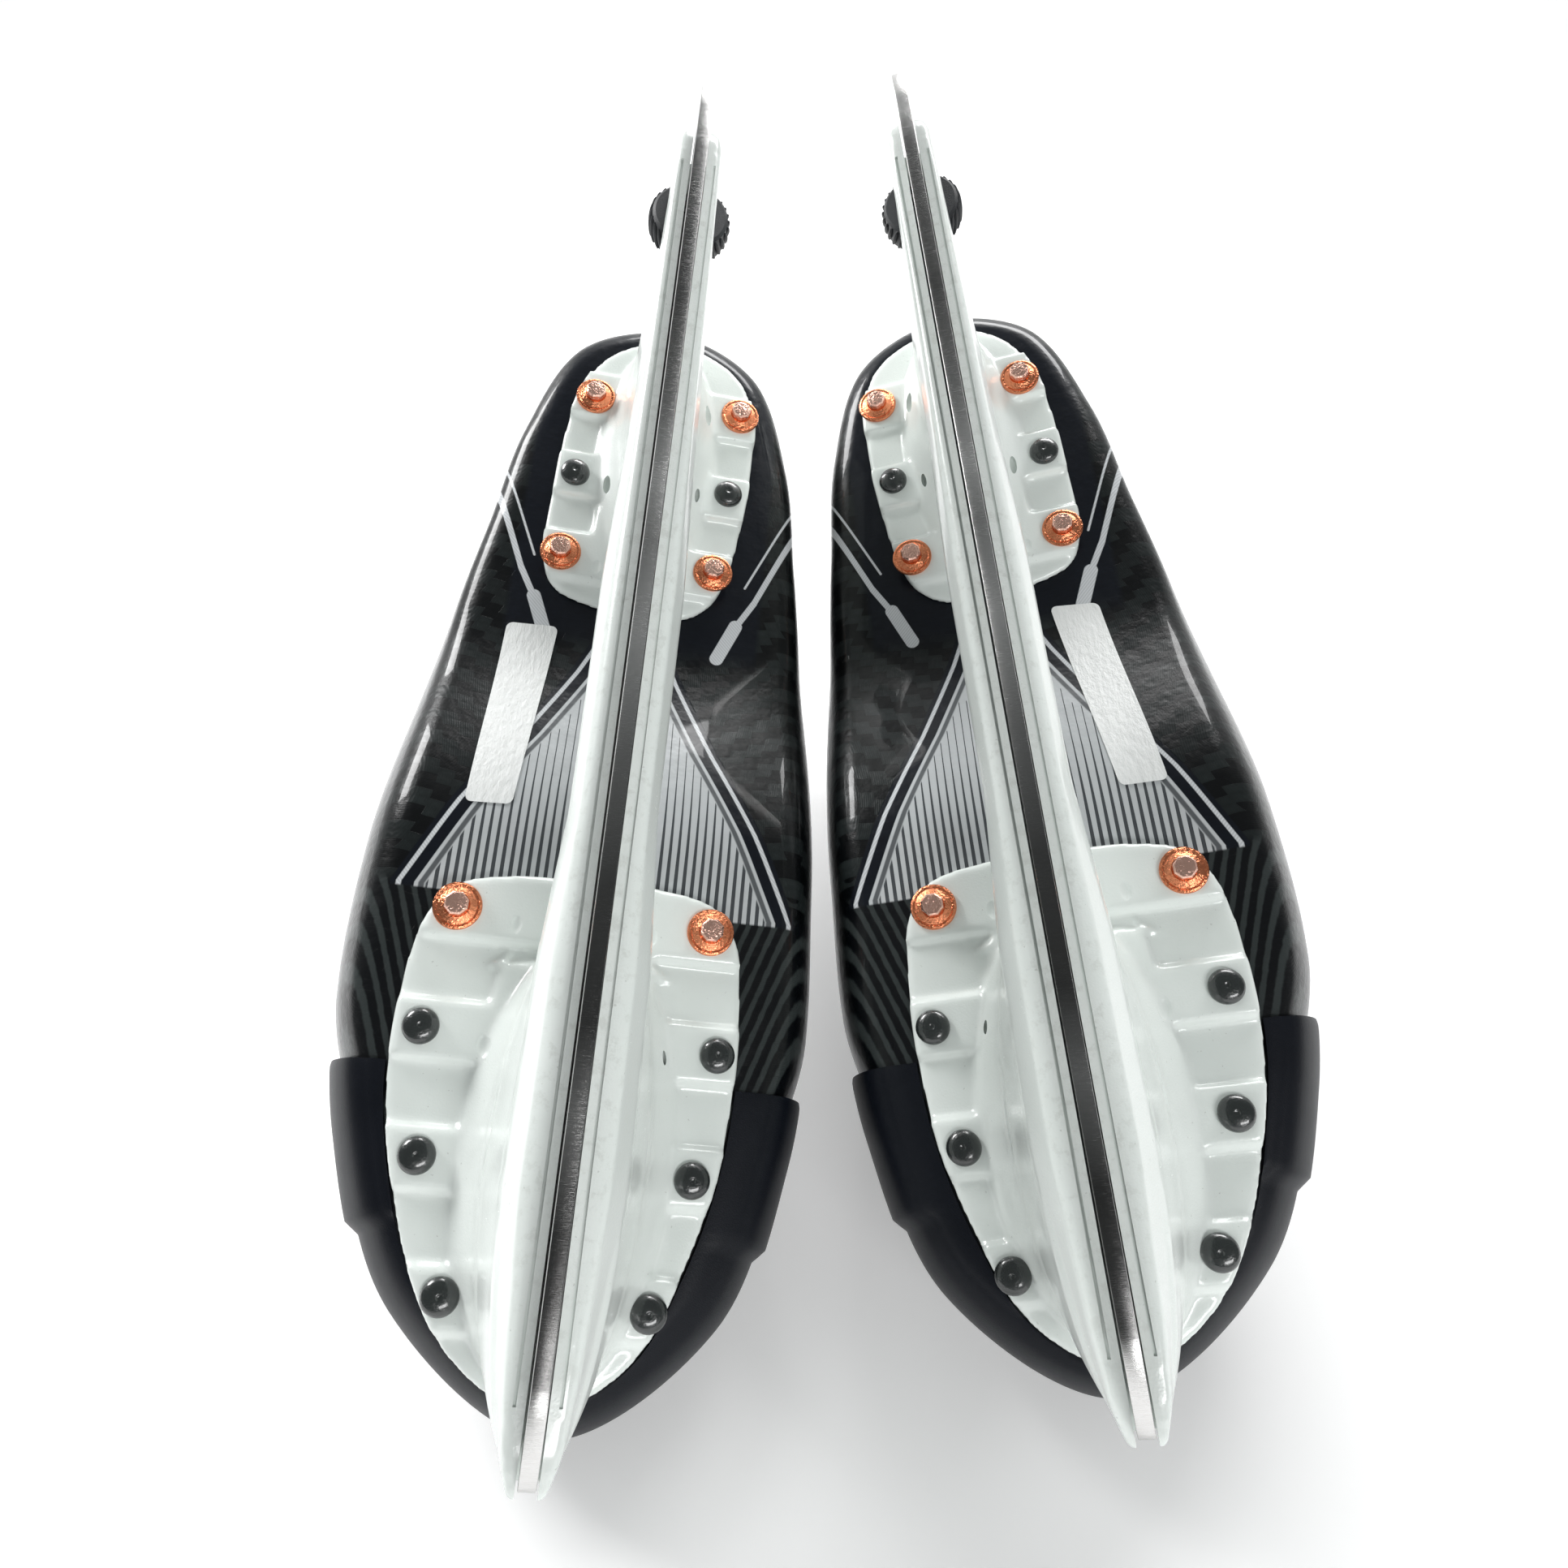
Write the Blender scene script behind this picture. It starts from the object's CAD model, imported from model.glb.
"""A pair of ice hockey skates lying soles up: moulded boots, riveted white blade holders and steel runners.

Each piece is shaped in the skate's own frame, in millimetres (+X lateral, +Y toe, +Z up the leg), and then
laid in the row's frame, the left skate as the mirror of the right one.
"""

import math
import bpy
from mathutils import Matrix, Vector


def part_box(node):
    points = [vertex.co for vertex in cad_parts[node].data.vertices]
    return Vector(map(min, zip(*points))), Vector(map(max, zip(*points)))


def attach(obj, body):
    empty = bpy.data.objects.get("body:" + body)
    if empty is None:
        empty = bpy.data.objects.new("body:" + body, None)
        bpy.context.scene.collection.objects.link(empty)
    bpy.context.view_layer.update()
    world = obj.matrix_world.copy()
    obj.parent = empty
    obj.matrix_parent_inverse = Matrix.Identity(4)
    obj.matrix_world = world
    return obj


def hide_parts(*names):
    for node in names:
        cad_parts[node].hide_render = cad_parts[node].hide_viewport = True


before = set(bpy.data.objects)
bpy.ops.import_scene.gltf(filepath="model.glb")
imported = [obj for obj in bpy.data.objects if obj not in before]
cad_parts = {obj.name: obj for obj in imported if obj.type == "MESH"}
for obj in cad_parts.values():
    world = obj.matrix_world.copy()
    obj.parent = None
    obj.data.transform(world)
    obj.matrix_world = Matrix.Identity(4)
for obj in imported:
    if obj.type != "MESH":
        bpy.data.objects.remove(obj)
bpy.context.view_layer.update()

import bmesh
import bpy
import numpy as np
from mathutils import Matrix, Vector
from mathutils.bvhtree import BVHTree

SCENE = bpy.context.scene

# ---------------------------------------------------------------- how each skate lies
TILT = 0.653858  # the cuff and the toe cap both touch the floor
LEAN = math.radians(12.5)
YAW = math.radians(5.2)
BOLT_Y = -127.5
WHEEL_CENTRE = (0, BOLT_Y, 30.2)


def turn(axis, angle):
    return np.array(Matrix.Rotation(angle, 3, axis))


TURN = turn("X", math.pi + TILT) @ turn("Z", -YAW) @ turn("Y", LEAN)


def home(side):
    low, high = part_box(side + "_lock_wheel")
    centre = np.array((low + high) / 2) * 1000
    if side == "left":
        centre[0] *= -1
    return centre - TURN @ np.array(WHEEL_CENTRE)


HOME = {side: home(side) for side in ("right", "left")}


def to_row(points, side):
    placed = points @ TURN.T + HOME[side]
    if side == "left":
        placed[:, 0] *= -1
    return placed / 1000


# ---------------------------------------------------------------- the camera
camera_data = bpy.data.cameras.new("camera")
camera_data.lens = 26.55
camera_data.sensor_width = 36
camera_data.clip_start = 0.01
camera = bpy.data.objects.new("camera", camera_data)
SCENE.collection.objects.link(camera)
camera.location = (-0.00345, -0.28180, 0.25390)
camera.rotation_euler = tuple(math.radians(a) for a in (56.197, 1.568, 0.180))
SCENE.camera = camera

# ---------------------------------------------------------------- dimensions shared with the solids, mm
SOLE_FRONT, SOLE_HEEL = 52.4, 71
SHELL_WALL, CAP_STEP = 2.6, 3.3
FLANGE = 3.7
FRONT_LOW = SOLE_FRONT - 0.3 - FLANGE
HEEL_LOW = SOLE_HEEL - 0.3 - FLANGE
OUTLINE = [
    (-1, -131), (24, -121), (36, -92), (41, -62), (45.5, -38), (50, -8), (54, 32),
    (54, 62), (49, 92), (33, 127), (-4, 150), (-38, 127), (-49.5, 92), (-52, 62),
    (-51, 32), (-49, -8), (-45, -38), (-41.5, -62), (-37, -92), (-25, -121),
]
LEVELS = np.array([
    (52.4, -131, 150, 1), (74.4, -131, 150, 1), (86, -130.5, 147, 0.99), (94, -129, 138, 0.97),
    (99, -128, 121, 0.955), (104, -127, 101, 0.94), (112, -125, 77, 0.91), (124, -122, 54, 0.86),
    (140, -118, 31, 0.81), (160, -115.5, 8, 0.75), (185, -115, -12, 0.72), (210, -118, -26, 0.73),
    (234, -122, -35, 0.76), (250, -124.7, -41, 0.78),
])
OUTLINE_BACK, OUTLINE_LENGTH = -131, 281
COLLAR = [(-10, 229), (-42, 226), (-72, 217), (-98, 207), (-130, 204)]
FRONT_FLANGE = [
    (0, 36), (20, 37), (31, 40.5), (36.5, 50), (38.3, 66), (37.4, 84), (33.2, 101), (27.5, 116),
    (18, 130.5), (5, 139), (-6, 139), (-18, 130.5), (-26, 114), (-31, 97), (-33, 80), (-33, 61),
    (-31, 47), (-25.5, 39), (-12, 36),
]
HEEL_FLANGE = [
    (0, -39), (-12, -39.5), (-19, -45), (-23, -57), (-25.2, -74), (-26, -89), (-25.2, -103), (-20.5, -114.5),
    (-11, -121), (0, -122.3), (9, -120), (17.5, -113), (22.8, -101), (24.8, -87), (25.4, -70), (25.6, -54),
    (22, -43.5), (13, -39.6),
]
COPPER = [(17.9, -99.2), (-21, -101.2), (20.8, -51.7), (-18.2, -52.5), (29.3, 45), (-24.6, 44.6)]
BLACK = [
    (20.2, -75.2), (-20, -76.6), (32.5, 70.3), (-28.6, 70.6), (29, 95.2), (-25.8, 95.9),
    (20.4, 120.4), (-19.8, 121.2),
]


# ---------------------------------------------------------------- curves and lofts
def ease(x, a, b):
    t = np.clip((np.asarray(x, float) - a) / (b - a), 0, 1)
    return t * t * (3 - 2 * t)


def closed_curve(points, count):
    """Points evenly spread in parameter along a centripetal curve through a closed list of points."""
    p = np.array(points, float)
    n = len(p)
    at = np.arange(count) / count * n
    i = at.astype(int)
    w = (at - i)[:, None]
    a, b, c, d = (p[(i + k) % n] for k in (-1, 0, 1, 2))
    chords = ((a, b), (b, c), (c, d))
    span = [np.maximum(np.linalg.norm(v - u, axis=1), 1e-6)[:, None] ** 0.5 for u, v in chords]
    m1 = ((b - a) / span[0] - (c - a) / (span[0] + span[1]) + (c - b) / span[1]) * span[1]
    m2 = ((c - b) / span[1] - (d - b) / (span[1] + span[2]) + (d - c) / span[2]) * span[1]
    return b + m1 * w + (-3 * b + 3 * c - 2 * m1 - m2) * w**2 + (2 * b - 2 * c + m1 + m2) * w**3


def open_curve(points, count):
    p = np.array(points, float)
    ext = np.vstack([2 * p[0] - p[1], p, 2 * p[-1] - p[-2]])
    at = np.linspace(0, len(p) - 1 - 1e-9, count)
    i = at.astype(int)
    w = (at - i)[:, None]
    a, b, c, d = (ext[i + k] for k in range(4))
    return 0.5 * (2 * b + (c - a) * w + (2 * a - 5 * b + 4 * c - d) * w**2 + (3 * b - a - 3 * c + d) * w**3)


def grown(ring, by):
    """A flat ring, counter-clockwise, pushed outwards."""
    t = np.roll(ring, -1, 0) - np.roll(ring, 1, 0)
    t /= np.maximum(np.linalg.norm(t, axis=1), 1e-9)[:, None]
    out = ring.copy()
    out[:, 0] += t[:, 1] * by
    out[:, 1] -= t[:, 0] * by
    return out


def new_object(name, verts, faces):
    mesh = bpy.data.meshes.new(name)
    mesh.from_pydata([tuple(v) for v in np.asarray(verts, float)], [], [tuple(map(int, f)) for f in faces])
    mesh.update()
    made = bpy.data.objects.new(name, mesh)
    SCENE.collection.objects.link(made)
    return made


def loft(rings, caps="across"):
    """Verts and faces of a skin over rings; its ends are strips across, one flat face each, or none."""
    rings = np.asarray(rings, float)
    count, n = rings.shape[:2]
    faces = []
    for r in range(count - 1):
        for i in range(n):
            j = (i + 1) % n
            faces.append((r * n + i, r * n + j, (r + 1) * n + j, (r + 1) * n + i))
    top = (count - 1) * n
    if caps == "across":
        for i in range(n // 2):
            quad = [i, i + 1, (n - i - 1) % n, (n - i) % n]
            face = [k for m, k in enumerate(quad) if k not in quad[:m]]
            faces.append(tuple(reversed(face)))
            faces.append(tuple(top + k for k in face))
    elif caps == "flat":
        faces.append(tuple(reversed(range(n))))
        faces.append(tuple(top + i for i in range(n)))
    return rings.reshape(-1, 3), faces


def made_of(name, part):
    return new_object(name, *part)


def joined(parts):
    verts, faces, start = [], [], 0
    for v, f in parts:
        verts.append(v)
        faces.extend(tuple(k + start for k in face) for face in f)
        start += len(v)
    return np.vstack(verts), faces


def prism(outline, low, high):
    ring = np.asarray(outline, float)
    return loft([np.c_[ring, np.full(len(ring), z)] for z in (low, high)], caps="flat")


def side_prism(outline, half):
    """A plate in the skate's Y-Z plane."""
    ring = np.asarray(outline, float)
    return loft([np.c_[np.full(len(ring), x), ring] for x in (-half, half)], caps="flat")


def block(x0, x1, y0, y1, z0, z1):
    return prism([(x0, y0), (x1, y0), (x1, y1), (x0, y1)], z0, z1)


def lathe(profile, steps, y=0.0):
    """A turned solid about a vertical line through (0, y), from a profile of (radius, z), with flat caps."""
    angle = np.arange(steps) / steps * 2 * math.pi
    rings = [np.c_[r * np.cos(angle), y + r * np.sin(angle), np.full(steps, z)] for r, z in profile]
    return loft(rings, caps="flat")


def cleaned(name, part):
    return tidy_normals(made_of(name, part))


def boolean(obj, cutter, operation="DIFFERENCE"):
    modifier = obj.modifiers.new("cut", "BOOLEAN")
    modifier.operation = operation
    modifier.solver = "EXACT"
    modifier.object = cutter
    bake(obj)
    bpy.data.objects.remove(cutter)
    return obj


def bake(obj):
    """Applies an object's modifiers to its mesh."""
    bpy.context.view_layer.update()
    evaluated = obj.evaluated_get(bpy.context.evaluated_depsgraph_get())
    mesh = bpy.data.meshes.new_from_object(evaluated)
    obj.modifiers.clear()
    obj.data = mesh
    return obj


def tidy_normals(obj):
    work = bmesh.new()
    work.from_mesh(obj.data)
    bmesh.ops.remove_doubles(work, verts=work.verts, dist=1e-4)
    bmesh.ops.recalc_face_normals(work, faces=work.faces)
    work.to_mesh(obj.data)
    work.free()
    return obj


def softened(obj, voxel, rounds):
    """Joins overlapping solids into one skin with small rounded edges, as a moulded piece has."""
    remesh = obj.modifiers.new("join", "REMESH")
    remesh.mode = "VOXEL"
    remesh.voxel_size = voxel
    return eased(obj, 0.5, rounds)


def eased(obj, factor, rounds):
    relax = obj.modifiers.new("round", "SMOOTH")
    relax.factor = factor
    relax.iterations = rounds
    return bake(obj)


def point_values(mesh, key):
    values = np.zeros(len(mesh.vertices) * 3, np.float32)
    mesh.vertices.foreach_get(key, values)
    return values


# ---------------------------------------------------------------- placing a finished shape on both skates
def lay(template, name, side, body, nodes, material, crease=38):
    """Copies a shape from the skate's frame to one skate, with the skate's coordinates kept as attributes."""
    mesh = template.data.copy()
    mesh.name = side + "_" + name
    made = bpy.data.objects.new(side + "_" + name, mesh)
    SCENE.collection.objects.link(made)
    local = point_values(mesh, "co")
    for key, values in (("skate", local), ("facing", point_values(mesh, "normal"))):
        kept = mesh.attributes.new(key, "FLOAT_VECTOR", "POINT")
        kept.data.foreach_set("vector", values)
    mesh.vertices.foreach_set("co", to_row(local.reshape(-1, 3).astype(float), side).ravel())
    if side == "left":
        mesh.flip_normals()
    if not mesh.materials:
        mesh.materials.append(material)
    mesh.shade_smooth()
    mesh.set_sharp_from_angle(angle=math.radians(crease))
    mesh.update()
    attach(made, body)
    if nodes:
        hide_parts(*[side + "_" + node for node in nodes])
    return made


ROOT = "boots_and_holders"


def on_both(template, name, nodes, material, moving=False, crease=38):
    pieces = []
    for side in ("right", "left"):
        body = side + "_" + nodes[0] if moving else ROOT
        pieces.append(lay(template, name, side, body, nodes, material, crease))
    bpy.data.objects.remove(template)
    return pieces


# ---------------------------------------------------------------- node helpers
class Nodes:
    """Short ways to make the nodes of a material or a group."""

    def __init__(self, tree):
        self.tree = tree

    def add(self, kind, **settings):
        node = self.tree.nodes.new(kind)
        for key, value in settings.items():
            setattr(node, key, value)
        return node

    def feed(self, socket, value):
        if isinstance(value, bpy.types.NodeSocket):
            self.tree.links.new(value, socket)
        elif value is not None:
            socket.default_value = value

    def math(self, operation, a, b=None, c=None, clamp=False):
        node = self.add("ShaderNodeMath", operation=operation, use_clamp=clamp)
        for socket, value in zip(node.inputs, (a, b, c)):
            self.feed(socket, value)
        return node.outputs[0]

    def times(self, a, b):
        return self.math("MULTIPLY", a, b)

    def plus(self, a, b):
        return self.math("ADD", a, b)

    def minus(self, a, b):
        return self.math("SUBTRACT", a, b)

    def times_plus(self, a, b, c, clamp=False):
        return self.math("MULTIPLY_ADD", a, b, c, clamp)

    def vector(self, operation, a, b=None, out=0):
        node = self.add("ShaderNodeVectorMath", operation=operation)
        self.feed(node.inputs[0], a)
        self.feed(node.inputs[1], b)
        return node.outputs[out]

    def mix(self, factor, a, b, blend="MIX"):
        node = self.add("ShaderNodeMix", data_type="RGBA", blend_type=blend)
        self.feed(node.inputs[0], factor)
        self.feed(node.inputs[6], a)
        self.feed(node.inputs[7], b)
        return node.outputs[2]

    def step(self, value, low, high):
        """0 below low, 1 above high, smooth between."""
        node = self.add("ShaderNodeMapRange", interpolation_type="SMOOTHSTEP")
        self.feed(node.inputs[0], value)
        node.inputs[1].default_value = low
        node.inputs[2].default_value = high
        return node.outputs[0]

    def ramp(self, value, stops):
        """Brightness along a value, from stops of (place, brightness)."""
        node = self.add("ShaderNodeValToRGB")
        elements = node.color_ramp.elements
        while len(elements) < len(stops):
            elements.new(0.5)
        for element, (place, brightness) in zip(elements, stops):
            element.position = place
            element.color = grey(brightness)
        self.feed(node.inputs[0], value)
        return node.outputs[0]

    def noise(self, place, scale, detail=3.0, rough=0.5):
        node = self.add("ShaderNodeTexNoise")
        self.feed(node.inputs["Vector"], place)
        node.inputs["Scale"].default_value = scale
        node.inputs["Detail"].default_value = detail
        node.inputs["Roughness"].default_value = rough
        return node.outputs[0]

    def scaled(self, place, scale):
        node = self.add("ShaderNodeMapping")
        self.feed(node.inputs["Vector"], place)
        node.inputs["Scale"].default_value = scale
        return node.outputs[0]

    def skate(self):
        return self.add("ShaderNodeAttribute", attribute_name="skate").outputs["Vector"]

    def facing(self):
        return self.add("ShaderNodeAttribute", attribute_name="facing").outputs["Vector"]

    def split(self, place):
        node = self.add("ShaderNodeSeparateXYZ")
        self.feed(node.inputs[0], place)
        return node.outputs

    def bump(self, height, distance):
        node = self.add("ShaderNodeBump")
        self.feed(node.inputs["Height"], height)
        node.inputs["Distance"].default_value = distance
        node.inputs["Strength"].default_value = 1.0
        return node.outputs[0]


def new_group(name, inputs, outputs):
    tree = bpy.data.node_groups.new(name, "ShaderNodeTree")
    for label, kind, value in inputs:
        socket = tree.interface.new_socket(label, in_out="INPUT", socket_type=kind)
        if value is not None:
            socket.default_value = value
    for label, kind in outputs:
        tree.interface.new_socket(label, in_out="OUTPUT", socket_type=kind)
    n = Nodes(tree)
    return tree, n, n.add("NodeGroupInput").outputs, n.add("NodeGroupOutput").inputs


def use_group(n, tree, **values):
    node = n.add("ShaderNodeGroup", node_tree=tree)
    for key, value in values.items():
        n.feed(node.inputs[key.replace("_", " ")], value)
    return node.outputs


# Fine hairline scratches and dust that roughen a surface in handling.
HANDLING, n, given, out = new_group(
    "handling wear",
    [("Place", "NodeSocketVector", None), ("Base Rough", "NodeSocketFloat", 0.2),
     ("Amount", "NodeSocketFloat", 0.1)],
    [("Roughness", "NodeSocketFloat"), ("Smudge", "NodeSocketFloat"), ("Height", "NodeSocketFloat")],
)
smudge = n.noise(given["Place"], 0.06, 4.0, 0.6)
hair = n.noise(n.scaled(given["Place"], (0.25, 2.2, 0.6)), 0.8, 5.0, 0.7)
hair_line = n.step(hair, 0.62, 0.72)
spread = n.times_plus(smudge, given["Amount"], given["Base Rough"])
n.feed(out["Roughness"], n.times_plus(hair_line, 0.06, spread, clamp=True))
n.feed(out["Smudge"], smudge)
n.feed(out["Height"], hair)

# A 2 by 2 twill of flat tows, seen through clear resin.
TWILL, n, given, out = new_group(
    "twill tows",
    [("U", "NodeSocketFloat", 0.0), ("V", "NodeSocketFloat", 0.0), ("Tow", "NodeSocketFloat", 2.4)],
    [("Over", "NodeSocketFloat"), ("Fibre", "NodeSocketFloat")],
)
across = n.math("DIVIDE", given["U"], given["Tow"])
along = n.math("DIVIDE", given["V"], given["Tow"])
shift = n.minus(n.math("FLOOR", across), n.math("FLOOR", along))
over = n.math("LESS_THAN", n.math("FLOORED_MODULO", shift, 4.0), 1.9)
warp = n.math("SINE", n.times(across, 44.0))
weft = n.math("SINE", n.times(along, 44.0))
crown_u = n.math("ABSOLUTE", n.minus(n.math("FRACT", across), 0.5))
crown_v = n.math("ABSOLUTE", n.minus(n.math("FRACT", along), 0.5))
crown = n.times(n.math("MAXIMUM", crown_u, crown_v), -0.5)
n.feed(out["Over"], n.plus(over, crown))
strand = n.add("ShaderNodeMix", data_type="FLOAT")
n.feed(strand.inputs[0], over)
n.feed(strand.inputs[2], weft)
n.feed(strand.inputs[3], warp)
n.feed(out["Fibre"], strand.outputs[0])

# A straight stroke between two points of a plane.
STROKE, n, given, out = new_group(
    "stroke",
    [("Place", "NodeSocketVector", None), ("From", "NodeSocketVector", (0, 0, 0)),
     ("To", "NodeSocketVector", (0, 1, 0)), ("Half Width", "NodeSocketFloat", 1.0)],
    [("Mask", "NodeSocketFloat")],
)
reach = n.vector("SUBTRACT", given["Place"], given["From"])
run = n.vector("SUBTRACT", given["To"], given["From"])
length_squared = n.vector("DOT_PRODUCT", run, run, out=1)
share = n.math("DIVIDE", n.vector("DOT_PRODUCT", reach, run, out=1), length_squared, clamp=True)
scale_run = n.add("ShaderNodeVectorMath", operation="SCALE")
n.feed(scale_run.inputs[0], run)
n.feed(scale_run.inputs["Scale"], share)
off = n.vector("LENGTH", n.vector("SUBTRACT", reach, scale_run.outputs[0]), out=1)
n.feed(out["Mask"], n.step(n.minus(given["Half Width"], off), -0.12, 0.12))


def new_material(name, **settings):
    material = bpy.data.materials.new(name)
    material.use_nodes = True
    n = Nodes(material.node_tree)
    n.material = material
    n.shader = material.node_tree.nodes["Principled BSDF"]
    for key, value in settings.items():
        n.shader.inputs[key.replace("_", " ")].default_value = value
    return n


def worn_material(name, rough, amount, **settings):
    """A new material, its place on the skate and the wear that handling has left on it."""
    n = new_material(name, **settings)
    place = n.skate()
    return n, place, use_group(n, HANDLING, Place=place, Base_Rough=rough, Amount=amount)


def finished(n, colour, roughness, height, depth):
    """Gives a material its colour, roughness and fine relief; with None it keeps its even roughness."""
    for key, value in (("Base Color", colour), ("Roughness", roughness), ("Normal", n.bump(height, depth))):
        n.feed(n.shader.inputs[key], value)
    return n.material


def grey(v):
    return (v, v, v, 1)


# ---------------------------------------------------------------- materials
def moulded_white():
    n, place, wear = worn_material(
        "moulded white nylon", 0.16, 0.14, IOR=1.5, Coat_Weight=0.35, Coat_Roughness=0.06)
    z = n.split(place)[2]
    specks = n.step(n.noise(place, 1.1, 2.0, 0.5), 0.735, 0.76)
    scuff = n.times(n.step(z, 14.0, 10.5), n.step(n.noise(place, 0.35, 5.0, 0.7), 0.5, 0.66))
    tint = n.mix(wear["Smudge"], (0.77, 0.82, 0.785, 1), (0.83, 0.87, 0.845, 1))
    tint = n.mix(n.times(specks, 0.35), tint, (0.35, 0.36, 0.33, 1))
    tint = n.mix(n.times(scuff, 0.3), tint, (0.5, 0.52, 0.48, 1))
    return finished(n, tint, wear["Roughness"], n.noise(place, 2.2, 2.0), 0.00004)


def ground_steel():
    n = new_material("ground runner steel", Metallic=1.0, Anisotropic=0.4)
    place = n.skate()
    y = n.split(place)[1]
    streak = n.noise(n.scaled(place, (0.5, 9.0, 0.4)), 1.0, 6.0, 0.65)
    wide = n.noise(n.scaled(place, (0.0, 0.09, 0.0)), 1.0, 2.0, 0.5)
    bands = n.ramp(
        n.math("DIVIDE", n.plus(y, 150.0), 300.0),
        [(0.0, 0.9), (0.06, 0.8), (0.09, 0.28), (0.24, 0.2), (0.32, 0.42),
         (0.385, 0.85), (0.43, 0.55), (0.5, 0.8), (0.57, 0.42), (0.66, 0.16),
         (0.74, 0.12), (0.79, 0.4), (0.85, 0.1), (0.925, 0.16), (0.935, 0.85), (1.0, 0.7)],
    )
    down = n.step(n.split(n.facing())[2], -0.4, -0.8)
    edge = n.mix(down, grey(0.62), bands)
    tone = n.mix(streak, (0.62, 0.6, 0.58, 1), (1, 1, 1, 1))
    rough = n.times_plus(streak, 0.22, n.times_plus(wide, 0.1, 0.08), clamp=True)
    return finished(n, n.mix(1.0, edge, tone, "MULTIPLY"), rough, streak, 0.00003)


def sole_print(n, place):
    """Masks of the printing on the sole: the striped silver panel, the light lines and the dark bands."""
    x, y = n.split(place)[:2]
    side = n.math("ABSOLUTE", x)
    share = n.math("DIVIDE", n.plus(y, 40.0), 80.0, clamp=True)
    half = n.times(n.ramp(share, [
        (0.0, 0.02), (0.24, 0.18), (0.5, 0.38), (0.75, 0.6), (1.0, 0.79),
    ]), 50.0)
    inside = n.minus(half, side)
    window = n.times(n.step(y, -38.0, -37.4), n.step(y, 41.2, 40.6))
    panel = n.times(n.step(inside, -0.1, 0.15), window)
    column = n.math("DIVIDE", x, 1.9)
    lane = n.math("ABSOLUTE", n.minus(n.math("FRACT", column), 0.5))
    index = n.math("FLOORED_MODULO", n.math("FLOOR", column), 4.0)
    start = n.plus(n.times(n.math("FLOOR", n.math("DIVIDE", side, 1.9)), 1.7), -24.0)
    begun = n.step(n.minus(y, n.times_plus(index, 3.2, start)), 0.0, 0.4)
    wide = n.times_plus(n.step(y, 4.0, 38.0), 0.17, 0.06)
    stripe = n.times(n.math("LESS_THAN", lane, wide), begun)
    rim_line = n.times(n.step(inside, 2.4, 1.9), n.step(inside, 0.7, 1.1))
    stripe = n.times(stripe, n.step(inside, 2.2, 2.6))
    outer = n.times(n.step(inside, -3.9, -3.6), n.step(inside, -2.5, -2.8))
    hatch = n.math("GREATER_THAN", n.math("SINE", n.times(n.plus(x, y), 7.0)), 0.0)
    outer = n.times(outer, window)
    folded = n.add("ShaderNodeCombineXYZ")
    n.feed(folded.inputs[0], side)
    n.feed(folded.inputs[1], y)
    lines = outer
    for start_point, end_point, half_width in (
        ((43.5, -80, 0), (30.2, -48, 0), 0.75), ((30.2, -48, 0), (26.6, -41.5, 0), 0.8),
        ((25.9, -40.5, 0), (21.8, -30.5, 0), 1.75), ((39.5, -80, 0), (27.4, -52, 0), 0.3),
    ):
        mask = use_group(n, STROKE, Place=folded.outputs[0], From=start_point, To=end_point,
                         Half_Width=half_width)
        lines = n.math("MAXIMUM", lines, mask["Mask"])
    heel = n.times(n.step(y, -26.0, -34.0), n.step(side, 33.0, 31.0))
    printed = n.math("MAXIMUM", heel, n.times(n.step(inside, -5.2, -4.8), n.step(y, 41.2, 40.6)))
    return panel, stripe, rim_line, lines, hatch, printed


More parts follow.
